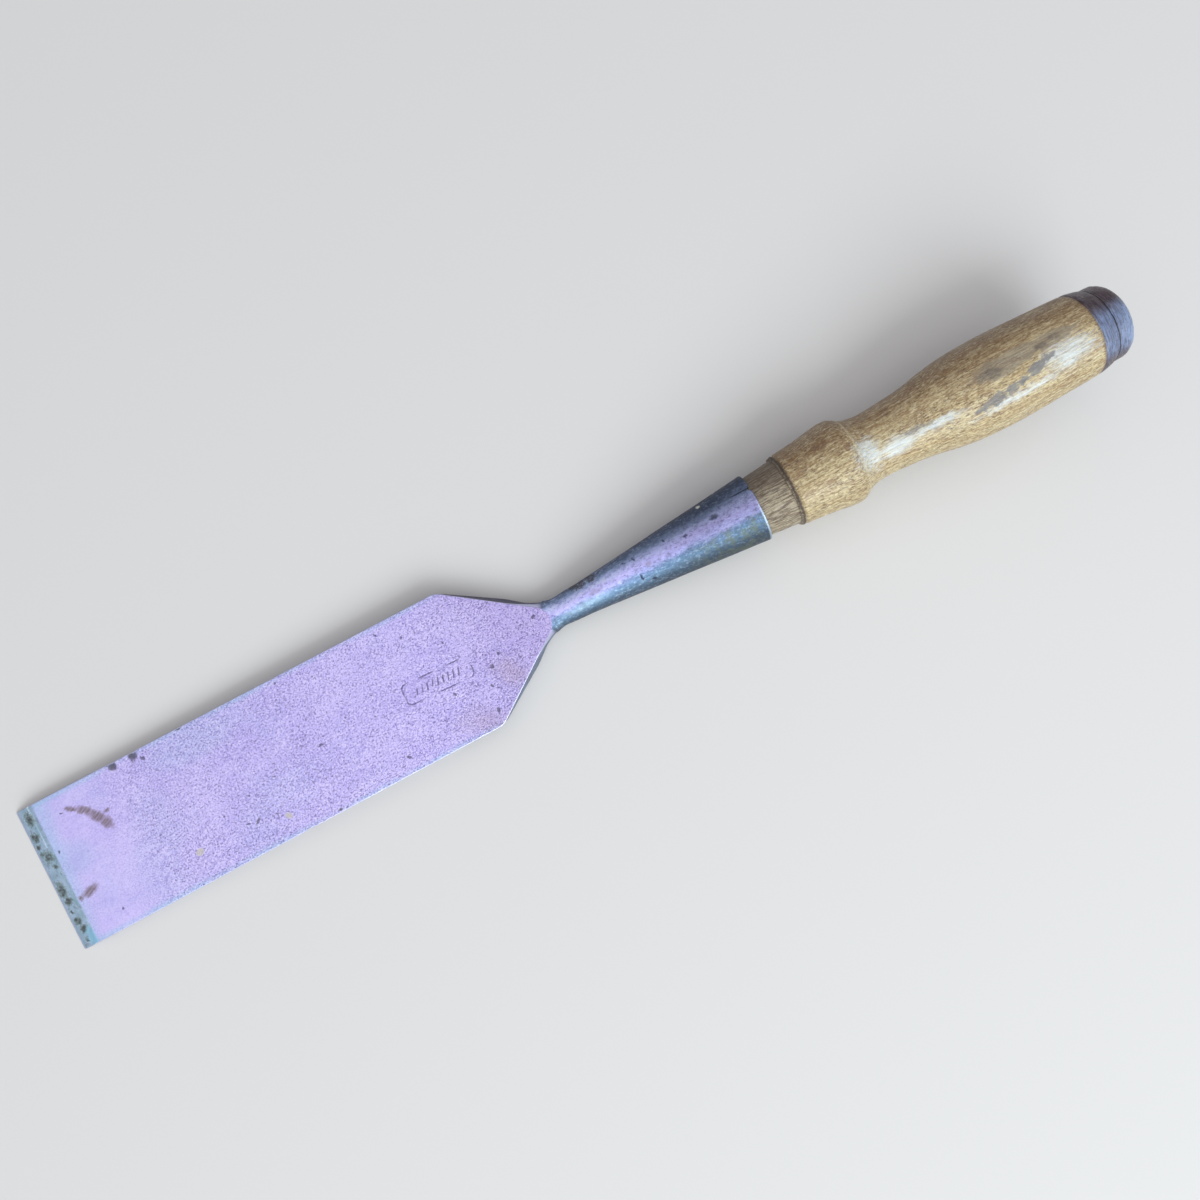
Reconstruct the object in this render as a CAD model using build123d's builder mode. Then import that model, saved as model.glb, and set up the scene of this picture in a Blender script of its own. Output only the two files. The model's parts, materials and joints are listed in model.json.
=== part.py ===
from build123d import *
import os
from math import cos, radians, sin, tan

os.makedirs("parts", exist_ok=True)

# A two inch socket bench chisel, lying on the flat back of its blade with the bevel side up.
# The origin is the middle of the cutting edge, in the plane of the back. +X runs from the
# edge towards the butt of the handle, +Y across the blade and +Z up. Sizes are in millimetres
# and angles in degrees.

# Blade
edge_width = 50.8
shoulder_width = 50.1
blade_length = 157.5            # edge to shoulder corners
edge_skew = 1.15                # the edge has been ground slightly out of square
strip_length = 6.25             # steep honed strip behind the edge
strip_angle = 25.0
heel_x = 12.6                   # where the bevel meets the face
heel_thickness = 3.35
face_rise = 1.68                # the face climbs from the heel to the shoulders
shoulder_x = 185.6              # where the sloping shoulders reach the neck
shoulder_half_width = 6.8
shoulder_draught = 1.3          # how far the shoulders lean in over the plate's height
corner_radius = 1.6
draught_height = 9.0
nose_reach = 2.2                # the blunt nose beyond the shoulders' ends
nose_narrowing = 1.8            # how much narrower it is on each side

# Steel facing, forge welded under the blade
steel_thickness = 2.2
steel_end_x = 150.0
steel_scarf = 14.0

# Neck
neck_root_x = 181.0
neck_root_width = 12.6
neck_root_height = 8.2
neck_x = 191.0
neck_width = 10.3
neck_height = 9.4

# Socket, whose axis is canted up from the back
cant = 6.0
mouth_x = 266.2
mouth_z = 12.9
mouth_radius = 12.0
cone_half_angle = 5.43
socket_length = 66.0
socket_wall = 1.25
bore_depth = 62.0

# Handle, in distances along the socket's axis from the mouth
taper_clearance = 0.05
tenon_depth = 58.0
tenon_exposed = 10.9
step_radius = 12.55
bulb_points = [(21.0, 13.8), (30.6, 15.05), (35.0, 13.8), (38.8, 12.1)]
waist_at = 43.6
waist_radius = 11.5
grip_points = [(51.0, 11.85), (60.5, 12.9), (70.4, 14.75), (78.5, 15.8)]
grip_crest = 88.0
grip_radius = 15.95
cap_start = 119.5
handle_end_radius = 14.6
tenon_chamfer = 0.8

# Leather cap, two washers held by a hardwood peg
washer_split = 125.3
cap_end = 132.2
leather_inset = 0.1             # the leather stands just inside the wood
split_radius = 13.45
rim_radius = 13.1
rim_rounding = 3.2
peg_radius = 4.75
peg_depth = 28.0
peg_clearance = 0.04
peg_chamfer = 0.6
hole_spare = 1.0                # the blind hole is a little deeper than the peg

# How far cutting shapes run past the metal, and a height above the whole blade
overshoot = 6.0
above_blade = 30.0

# Planes and axes shared by the pieces
skewed_side_plane = Plane.XZ.rotated((0, 0, -edge_skew))
socket_direction = Vector(cos(radians(cant)), 0, sin(radians(cant)))
mouth_centre = Vector(mouth_x, 0, mouth_z)
socket_axis = Axis(mouth_centre, socket_direction)
turning_plane = Plane(origin=mouth_centre, x_dir=socket_direction, z_dir=(0, -1, 0))
face_plane = Plane(
    origin=(heel_x, 0, heel_thickness),
    x_dir=(0, 1, 0),
    z_dir=(-sin(radians(face_rise)), 0, cos(radians(face_rise))),
)


def cone_radius(along, radius_at_mouth):
    """Radius at a distance along the axis from the mouth, on the socket's taper."""
    return radius_at_mouth + along * tan(radians(cone_half_angle))


def plan_outline(draught):
    """Corners of the blade seen from above, with the shoulders drawn in by the draught."""
    half_edge = edge_width / 2
    half_shoulder = shoulder_width / 2
    half_neck = shoulder_half_width - draught
    neck_end = shoulder_x - draught / 2
    nose = neck_end + nose_reach
    corner = blade_length - draught / 4
    upper = [
        (-overshoot, half_edge),
        (corner, half_shoulder),
        (neck_end, half_neck),
        (nose, half_neck - nose_narrowing),
    ]
    lower = [(x, -y) for x, y in reversed(upper)]
    return upper + lower


# Everything above the bevel, removed from the blade and from its steel
strip_rise = strip_length * tan(radians(strip_angle))
bevel_slope = (heel_thickness - strip_rise) / (heel_x - strip_length)
with BuildPart() as bevel_waste:
    with BuildSketch(skewed_side_plane):
        with BuildLine():
            Polyline(
                (-2 * overshoot, -overshoot),
                (0, -overshoot),
                (0, 0),
                (strip_length, strip_rise),
                (heel_x + overshoot, heel_thickness + overshoot * bevel_slope),
                (heel_x + overshoot, above_blade),
                (-2 * overshoot, above_blade),
                close=True,
            )
        make_face()
    extrude(amount=edge_width, both=True)

# The whole plate of the blade, before the steel is told apart from the iron
with BuildPart() as blade_blank:
    for height, draught in ((0, 0), (draught_height, shoulder_draught)):
        with BuildSketch(Plane.XY.offset(height)) as outline:
            with BuildLine():
                Polyline(*plan_outline(draught), close=True)
            make_face()
            by_x = outline.vertices().group_by(Axis.X)
            fillet(by_x[1], radius=corner_radius)
    loft()
    split(bisect_by=face_plane, keep=Keep.BOTTOM)
    add(bevel_waste.part, mode=Mode.SUBTRACT)

# The layer that the steel takes up, thinning to nothing in a scarf
with BuildPart() as facing_blank:
    with BuildSketch(Plane.XZ):
        with BuildLine():
            Polyline(
                (-2 * overshoot, 0),
                (steel_end_x, 0),
                (steel_end_x - steel_scarf, steel_thickness),
                (-2 * overshoot, steel_thickness),
                close=True,
            )
        make_face()
    extrude(amount=edge_width, both=True)

# Steel facing: the hard steel that carries the edge, flat on the back
with BuildPart() as steel_facing:
    add(blade_blank.part)
    add(facing_blank.part, mode=Mode.INTERSECT)
steel_facing.part.label = "steel_facing"
export_step(steel_facing.part, "parts/steel_facing.step")

# Blade body: iron plate, neck and rolled socket in one forging
with BuildPart() as blade_body:
    add(blade_blank.part)
    add(facing_blank.part, mode=Mode.SUBTRACT)
    with BuildSketch(Plane.YZ.offset(neck_root_x)):
        with Locations((0, neck_root_height / 2)):
            Ellipse(neck_root_width / 2, neck_root_height / 2)
    with BuildSketch(Plane.YZ.offset(neck_x)):
        with Locations((0, neck_height / 2)):
            Ellipse(neck_width / 2, neck_height / 2)
    cone_start = mouth_centre - socket_direction * socket_length
    with BuildSketch(Plane(origin=cone_start, x_dir=(0, 1, 0), z_dir=socket_direction)):
        Circle(cone_radius(-socket_length, mouth_radius))
    loft()
    with BuildSketch(turning_plane):
        with BuildLine():
            Polyline(
                (-socket_length, 0),
                (-socket_length, cone_radius(-socket_length, mouth_radius)),
                (0, mouth_radius),
                (0, 0),
                close=True,
            )
        make_face()
    revolve(axis=socket_axis)
    bore_radius = mouth_radius - socket_wall
    with BuildSketch(turning_plane):
        with BuildLine():
            Polyline(
                (-bore_depth, 0),
                (-bore_depth, cone_radius(-bore_depth, bore_radius)),
                (overshoot, cone_radius(overshoot, bore_radius)),
                (overshoot, 0),
                close=True,
            )
        make_face()
    revolve(axis=socket_axis, mode=Mode.SUBTRACT)
blade_body.part.label = "blade_body"
export_step(blade_body.part, "parts/blade_body.step")

# Handle: one hardwood turning with its tapered tenon, bulb, waist and grip
tenon_radius = bore_radius - taper_clearance
with BuildPart() as handle:
    with BuildSketch(turning_plane):
        with BuildLine():
            tip_radius = cone_radius(-tenon_depth, tenon_radius)
            shoulder_radius = cone_radius(tenon_exposed, tenon_radius)
            Polyline(
                (-tenon_depth, 0),
                (-tenon_depth, tip_radius - tenon_chamfer),
                (-tenon_depth + tenon_chamfer, tip_radius),
                (tenon_exposed, shoulder_radius),
                (tenon_exposed, step_radius),
            )
            Spline(
                (tenon_exposed, step_radius),
                *bulb_points,
                (waist_at, waist_radius),
            )
            Spline(
                (waist_at, waist_radius),
                *grip_points,
                (grip_crest, grip_radius),
                (cap_start, handle_end_radius),
            )
            Polyline((cap_start, handle_end_radius), (cap_start, 0), (-tenon_depth, 0))
        make_face()
    revolve(axis=socket_axis)
    hole_radius = peg_radius + peg_clearance
    with BuildSketch(turning_plane):
        with BuildLine():
            Polyline(
                (cap_start - peg_depth - hole_spare, 0),
                (cap_start - peg_depth - hole_spare, hole_radius),
                (cap_end, hole_radius),
                (cap_end, 0),
                close=True,
            )
        make_face()
    revolve(axis=socket_axis, mode=Mode.SUBTRACT)
handle.part.label = "handle"
export_step(handle.part, "parts/handle.step")

# Inner leather washer, bedded against the end of the handle
with BuildPart() as leather_washer_inner:
    with BuildSketch(turning_plane):
        with BuildLine():
            Polyline(
                (cap_start, hole_radius),
                (cap_start, handle_end_radius - leather_inset),
                (washer_split, split_radius),
                (washer_split, hole_radius),
                close=True,
            )
        make_face()
    revolve(axis=socket_axis)
leather_washer_inner.part.label = "leather_washer_inner"
export_step(leather_washer_inner.part, "parts/leather_washer_inner.step")

# Outer leather washer, its rim rounded over by the mallet
with BuildPart() as leather_washer_outer:
    with BuildSketch(turning_plane):
        with BuildLine():
            Line((washer_split, hole_radius), (washer_split, rim_radius))
            Line((washer_split, rim_radius), (cap_end - rim_rounding, rim_radius))
            RadiusArc(
                (cap_end - rim_rounding, rim_radius),
                (cap_end, rim_radius - rim_rounding),
                rim_rounding,
            )
            Line((cap_end, rim_radius - rim_rounding), (cap_end, hole_radius))
            Line((cap_end, hole_radius), (washer_split, hole_radius))
        make_face()
    revolve(axis=socket_axis)
leather_washer_outer.part.label = "leather_washer_outer"
export_step(leather_washer_outer.part, "parts/leather_washer_outer.step")

# Centre peg, driven through both washers into the handle
with BuildPart() as centre_peg:
    with BuildSketch(turning_plane):
        with BuildLine():
            Polyline(
                (cap_start - peg_depth, 0),
                (cap_start - peg_depth, peg_radius - peg_chamfer),
                (cap_start - peg_depth + peg_chamfer, peg_radius),
                (cap_end, peg_radius),
                (cap_end, 0),
                close=True,
            )
        make_face()
    revolve(axis=socket_axis)
centre_peg.part.label = "centre_peg"
export_step(centre_peg.part, "parts/centre_peg.step")
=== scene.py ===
import bmesh
import bpy
import json
from math import asin, cos, exp, hypot, pi, radians, sin, tan
from mathutils import Matrix, Vector, noise


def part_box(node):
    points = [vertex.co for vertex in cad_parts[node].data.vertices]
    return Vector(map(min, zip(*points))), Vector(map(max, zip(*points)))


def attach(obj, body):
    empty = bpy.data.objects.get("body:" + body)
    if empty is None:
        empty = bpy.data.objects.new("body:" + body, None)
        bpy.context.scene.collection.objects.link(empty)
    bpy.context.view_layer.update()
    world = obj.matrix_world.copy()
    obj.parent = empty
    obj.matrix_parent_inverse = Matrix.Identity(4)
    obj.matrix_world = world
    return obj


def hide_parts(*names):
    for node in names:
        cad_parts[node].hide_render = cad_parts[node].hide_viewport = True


# The looks of a wide socket chisel. Shapes are worked out in millimetres, in the frame of the
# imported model, and written to meshes in metres. "Along" is a distance on the socket's canted
# axis from its mouth, and a turned piece's angle runs from its top towards +Y.

MM = 0.001

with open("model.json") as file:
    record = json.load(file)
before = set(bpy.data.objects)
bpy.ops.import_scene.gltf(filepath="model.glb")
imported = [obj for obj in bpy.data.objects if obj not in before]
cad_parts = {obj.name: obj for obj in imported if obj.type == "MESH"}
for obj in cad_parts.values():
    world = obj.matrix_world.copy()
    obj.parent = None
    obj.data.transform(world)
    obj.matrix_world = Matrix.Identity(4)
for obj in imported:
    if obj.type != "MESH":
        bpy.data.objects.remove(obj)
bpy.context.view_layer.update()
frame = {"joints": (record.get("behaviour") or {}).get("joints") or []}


# ---- places read from the frame
def corners(node):
    """Lowest and highest corner of a CAD node, in millimetres."""
    low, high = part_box(node)
    return low / MM, high / MM


body_high = corners("blade_body")[1]
steel_high = corners("steel_facing")[1]
peg_low, peg_high = corners("centre_peg")
inner_low, inner_high = corners("leather_washer_inner")

PULL = Vector(frame["joints"][0]["axis"]).normalized()
ACROSS = Vector((0, 1, 0))
LIFT = PULL.cross(ACROSS)
CANT = asin(PULL.z)

MOUTH_RADIUS = 12
CONE_SLOPE = tan(radians(5.43))
SOCKET_LENGTH = 66
SOCKET_WALL = 1.22
BORE_DEPTH = 62
MOUTH_ROUNDING = 0.2
PEG_RADIUS = (peg_high.y - peg_low.y) / 2

mouth_x = body_high.x - MOUTH_RADIUS * sin(CANT)
peg_middle = (peg_low + peg_high) / 2
mouth = peg_middle + PULL * ((mouth_x - peg_middle.x) / PULL.x)
CAP_END = (peg_high.x - PEG_RADIUS * sin(CANT) - mouth_x) / PULL.x
CAP_START = (inner_low.x + (inner_high.y - inner_low.y) / 2 * sin(CANT) - mouth_x) / PULL.x
PEG_START = (peg_low.x + PEG_RADIUS * sin(CANT) - mouth_x) / PULL.x


def turned(along, radius, angle):
    """A point on a turned piece."""
    outward = LIFT * cos(angle) + ACROSS * sin(angle)
    return mouth + PULL * along + outward * radius


# ---- small tools
def mix(first, second, part):
    return first + (second - first) * part


def ramp(low, high, value):
    """0 at low, 1 at high, with eased ends; low may be the larger."""
    part = min(max((value - low) / (high - low), 0), 1)
    return part * part * (3 - 2 * part)


def soft_min(first, second, reach):
    overlap = max(reach - abs(first - second), 0) / reach
    return min(first, second) - overlap * overlap * reach / 4


def soft_max(first, second, reach):
    return -soft_min(-first, -second, reach)


def ripple(x, y, z, size, seed):
    """Smooth noise from -1 to 1, with features of about the given size."""
    return noise.noise(Vector((x / size + 17.3 * seed, y / size - 5.1 * seed, z / size + 9.7 * seed)))


def steps(start, end, spacing):
    """Evenly spaced values from start up to, but not including, end."""
    count = max(1, round((end - start) / spacing))
    return [start + (end - start) * i / count for i in range(count)]


def quarter_turn(count, start=1):
    """(sine, 1 - cosine) at even steps of a quarter turn."""
    turns = [i / count * pi / 2 for i in range(start, count + 1)]
    return [(sin(turn), 1 - cos(turn)) for turn in turns]


def curve_through(points):
    """A smooth function through (place, value) points that never overshoots them."""
    places = [point[0] for point in points]
    values = [point[1] for point in points]
    rises = [(values[i + 1] - values[i]) / (places[i + 1] - places[i]) for i in range(len(points) - 1)]
    slopes = [rises[0]]
    for before, after in zip(rises, rises[1:]):
        slopes.append(0 if before * after <= 0 else 2 * before * after / (before + after))
    slopes.append(rises[-1])

    def value_at(place):
        if place <= places[0]:
            return values[0]
        if place >= places[-1]:
            return values[-1]
        i = max(k for k in range(len(places) - 1) if places[k] <= place)
        gap = places[i + 1] - places[i]
        t = (place - places[i]) / gap
        start = (1 + 2 * t) * (1 - t) ** 2 * values[i] + t * (1 - t) ** 2 * gap * slopes[i]
        end = t * t * (3 - 2 * t) * values[i + 1] + t * t * (t - 1) * gap * slopes[i + 1]
        return start + end

    return value_at


def add_object(name, data):
    made = bpy.data.objects.new(name, data)
    bpy.context.scene.collection.objects.link(made)
    return made


def add_piece(name, rings, material, body, node, hollow=False, masks=None, sharp_angle=38):
    """A closed mesh through rings of points in millimetres, riding on a body in place of a CAD node.

    Its two ends are capped, or joined to each other if it is hollow.
    """
    count = len(rings[0])
    points = [tuple(MM * c for c in point) for ring in rings for point in ring]
    faces = []
    for i in range(len(rings) if hollow else len(rings) - 1):
        here, there = i * count, (i + 1) % len(rings) * count
        for j in range(count):
            k = (j + 1) % count
            faces.append((here + j, here + k, there + k, there + j))
    if not hollow:
        last = (len(rings) - 1) * count
        faces.append(tuple(reversed(range(count))))
        faces.append(tuple(range(last, last + count)))
    mesh = bpy.data.meshes.new(name)
    mesh.from_pydata(points, [], faces)
    for mask, values in (masks or {}).items():
        attribute = mesh.attributes.new(mask, "FLOAT", "POINT")
        attribute.data.foreach_set("value", values)
    shape = bmesh.new()
    shape.from_mesh(mesh)
    bmesh.ops.recalc_face_normals(shape, faces=shape.faces)
    shape.to_mesh(mesh)
    shape.free()
    mesh.shade_smooth()
    mesh.set_sharp_from_angle(angle=radians(sharp_angle))
    mesh.materials.append(material)
    piece = add_object(name, mesh)
    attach(piece, body)
    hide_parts(node)
    return piece


# ---- shader tools
def tone(red, green, blue):
    """A linear colour from display values of 0 to 255."""
    def linear(value):
        value /= 255
        return value / 12.92 if value <= 0.04045 else ((value + 0.055) / 1.055) ** 2.4
    return (linear(red), linear(green), linear(blue), 1)


class Shader:
    """A material being built, with one short call for each kind of node."""

    def __init__(self, name):
        self.material = bpy.data.materials.new(name)
        self.material.use_nodes = True
        self.tree = self.material.node_tree
        self.surface = self.tree.nodes["Principled BSDF"]
        position = self.add("ShaderNodeTexCoord").outputs["Object"]
        self.place = self.vector("SCALE", position, Scale=1 / MM)
        self.colour = None

    def add(self, kind, inputs=None, **settings):
        node = self.tree.nodes.new(kind)
        for key, value in settings.items():
            setattr(node, key, value)
        for key, value in (inputs or {}).items():
            self.put(value, node.inputs[key])
        return node

    def put(self, value, socket):
        if isinstance(value, bpy.types.NodeSocket):
            self.tree.links.new(value, socket)
        else:
            socket.default_value = value

    def set(self, **sockets):
        for key, value in sockets.items():
            self.put(value, self.surface.inputs[key.replace("_", " ")])

    def vector(self, operation, first, second=None, **inputs):
        node = self.add("ShaderNodeVectorMath", operation=operation)
        self.put(first, node.inputs[0])
        if second is not None:
            self.put(second, node.inputs[1])
        for key, value in inputs.items():
            self.put(value, node.inputs[key])
        return node.outputs["Value" if operation in ("LENGTH", "DISTANCE", "DOT_PRODUCT") else "Vector"]

    def along_axis(self):
        """Millimetres with X along the socket's axis from the mouth, Z towards the top."""
        moved = self.vector("SUBTRACT", self.place, tuple(mouth))
        inputs = {"Vector": moved, "Angle": CANT}
        node = self.add("ShaderNodeVectorRotate", inputs, rotation_type="Y_AXIS")
        return node.outputs["Vector"]

    def parts(self, vector):
        node = self.add("ShaderNodeSeparateXYZ", {"Vector": vector})
        return node.outputs["X"], node.outputs["Y"], node.outputs["Z"]

    def stretched(self, vector, scale):
        return self.vector("MULTIPLY", vector, scale)

    def math(self, operation, first, second=0):
        node = self.add("ShaderNodeMath", operation=operation)
        self.put(first, node.inputs[0])
        self.put(second, node.inputs[1])
        return node.outputs[0]

    def plus(self, first, second):
        return self.math("ADD", first, second)

    def minus(self, first, second):
        return self.math("SUBTRACT", first, second)

    def times(self, first, *others):
        for other in others:
            first = self.math("MULTIPLY", first, other)
        return first

    def most(self, first, second):
        return self.math("MAXIMUM", first, second)

    def span(self, value, low, high, start=0, end=1):
        """start where value is low, end where it is high, with eased ends."""
        inputs = {"Value": value, "From Min": low, "From Max": high, "To Min": start, "To Max": end}
        node = self.add("ShaderNodeMapRange", inputs, interpolation_type="SMOOTHSTEP")
        return node.outputs["Result"]

    def noise(self, vector, size, detail=3, roughness=0.55, along=None):
        """Noise with features of about size, longer in X by 1 / along if that is given."""
        if along is not None:
            vector = self.stretched(vector, (along, 1, 1))
        inputs = {"Vector": vector, "Scale": 1 / size, "Detail": detail, "Roughness": roughness}
        return self.add("ShaderNodeTexNoise", inputs).outputs[0]

    def cells(self, vector, size):
        inputs = {"Vector": vector, "Scale": 1 / size}
        return self.add("ShaderNodeTexVoronoi", inputs).outputs["Distance"]

    def warped(self, vector, size, reach):
        """The vector shaken about, so that edges drawn with it are uneven."""
        inputs = {"Vector": vector, "Scale": 1 / size, "Detail": 3}
        shake = self.add("ShaderNodeTexNoise", inputs).outputs[1]
        centred = self.vector("SUBTRACT", shake, (0.5, 0.5, 0.5))
        return self.vector("ADD", vector, self.vector("SCALE", centred, Scale=reach))

    def blot(self, vector, centre, size, turn=0, edge=0.5):
        """1 inside a soft ellipsoid about centre, falling to a half at the half sizes given."""
        inputs = {"Vector": vector, "Location": centre, "Rotation": (0, 0, radians(turn)), "Scale": size}
        local = self.add("ShaderNodeMapping", inputs, vector_type="TEXTURE").outputs["Vector"]
        return self.span(self.vector("LENGTH", local), 1 + edge / 2, 1 - edge / 2)

    def blots(self, vector, places, edge=0.5):
        """1 inside any of the soft patches, each x, y, half length, half width and perhaps turn."""
        total = 0
        for x, y, length, width, *turn in places:
            patch = self.blot(vector, (x, y, 0), (length, width, DEEP), *turn, edge=edge)
            total = self.most(total, patch)
        return total

    def colours(self, value, stops):
        """A colour picked by value from (value, colour) stops."""
        node = self.add("ShaderNodeValToRGB", {"Fac": value})
        in_node = node.color_ramp.elements
        in_node[0].color = stops[0][1]
        in_node[1].color = stops[-1][1]
        for place, colour in stops[1:-1]:
            in_node.new(place).color = colour
        return node.outputs["Color"]

    def blend(self, part, first, second):
        node = self.add("ShaderNodeMix", data_type="RGBA")
        self.put(part, node.inputs["Factor"])
        self.put(first, node.inputs[6])
        self.put(second, node.inputs[7])
        return node.outputs[2]

    def lay(self, colour, part, amount=None):
        """Cover the colour so far with another where part is 1, or with that amount of it."""
        if amount is not None:
            part = self.times(part, amount)
        self.colour = self.blend(part, self.colour, colour)

    def fade(self, colour, value, low, high, amount=1):
        """Cover the colour so far by more and more, up to amount, as value runs from low to high."""
        self.lay(colour, self.span(value, low, high, 0, amount))

    def relief(self, *layers):
        """Relief from (height, depth) pairs: height from 0 to 1 stands for depth millimetres."""
        inputs = {}
        for height, depth in layers:
            inputs.update({"Height": height, "Distance": depth * MM, "Strength": 1})
            inputs["Normal"] = self.add("ShaderNodeBump", inputs).outputs["Normal"]
        self.set(Normal=inputs["Normal"])

    def mask(self, name):
        return self.add("ShaderNodeAttribute", attribute_name=name).outputs["Fac"]


# ---- materials
DEEP = 60     # half height of a patch that should reach right through a flat piece

LAVENDER = tone(195, 185, 246)
PALE_LAVENDER = tone(212, 202, 255)
CYAN_STEEL = tone(168, 200, 236)
COOL_STEEL = tone(150, 158, 186)
DARK_STEEL = tone(70, 70, 88)
SCALE_DARK = tone(44, 44, 56)
PIT_DARK = tone(110, 98, 156)
DEEP_PIT = tone(92, 84, 122)
STAIN_BROWN = tone(136, 120, 130)
STAIN_YELLOW = tone(198, 192, 180)
OLIVE = tone(102, 118, 112)
RUST = tone(98, 84, 76)
DARK_RUST = tone(52, 50, 50)

FACE_STAINS = [
    (18.4, 17.9, 2.6, 1.1, -25), (22.2, 15.4, 3, 1.6, -35), (24.9, 12, 3.4, 2, -55),
    (26.8, 8.6, 2.6, 2.1, -60), (28.6, 12, 1.4, 0.8, 10), (11.4, -9, 3.6, 1.5, 14),
    (7.9, -9.8, 1.2, 1),
]
EDGE_RUST = [
    (36.8, 24, 1.2, 1.4), (44.2, 23.9, 1.5, 1.5, 10), (34.6, 25.2, 1.6, 0.4),
    (84, -25, 0.8, 0.5), (96.5, -24.2, 0.6, 0.5), (61.5, 24.9, 1, 0.4),
]
FACE_SPOTS = [
    (15, 18, 0.4, 0.35), (18.4, -19, 0.4, 0.35), (8.7, 7, 0.4, 0.5), (46.8, 21.8, 0.7, 0.5),
    (183, 2.4, 0.9, 0.6, 20), (70.6, -14.6, 1.2, 0.5, 30), (67.5, -14, 0.8, 0.4),
    (124.5, -19.5, 0.5, 0.9, 30), (140.5, 17.2, 0.45, 0.45), (133.4, 21.8, 0.4, 0.5),
    (158.2, -19.5, 0.7, 0.9), (160.2, -11.5, 0.4, 0.7), (147.5, -8.4, 0.5, 0.6),
    (163, -6, 0.7, 0.7), (167, -2.5, 0.6, 0.6), (152, 9.2, 0.4, 0.35),
    (100.5, -2.2, 1.1, 0.35, -5), (96.5, 23.4, 0.4, 0.4),
]
PALE_SPOTS = [
    (49.1, -14.7, 1.4, 1.1, 10), (80.4, -17.8, 1.2, 1.1, -30),
]
STRIP_RUST = [
    (4.2, 21.4, 1.5, 2.2), (2.8, 15, 1.7, 1.6), (2.2, 11.6, 0.9, 0.8), (3.9, 7.4, 1.7, 2),
    (2.2, 9, 1, 0.8), (4.8, 3.4, 0.8, 0.9), (2.6, -4.6, 1.6, 2.8), (2.8, -8.8, 1.5, 1.5),
    (2, -12.4, 0.7, 0.7), (2.6, -15.8, 1.3, 1.3), (3.2, -19.2, 1.7, 1.5), (2.8, -23, 0.9, 0.8),
]


def streaks(s, vector, turn, size=0.5, length=7):
    """Fine parallel lines lying at an angle across the blade."""
    inputs = {"Vector": vector, "Rotation": (0, 0, radians(turn)), "Scale": (length, 1, 1)}
    turned_vector = s.add("ShaderNodeMapping", inputs, vector_type="TEXTURE").outputs["Vector"]
    return s.noise(turned_vector, size, 3, 0.6)


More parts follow.
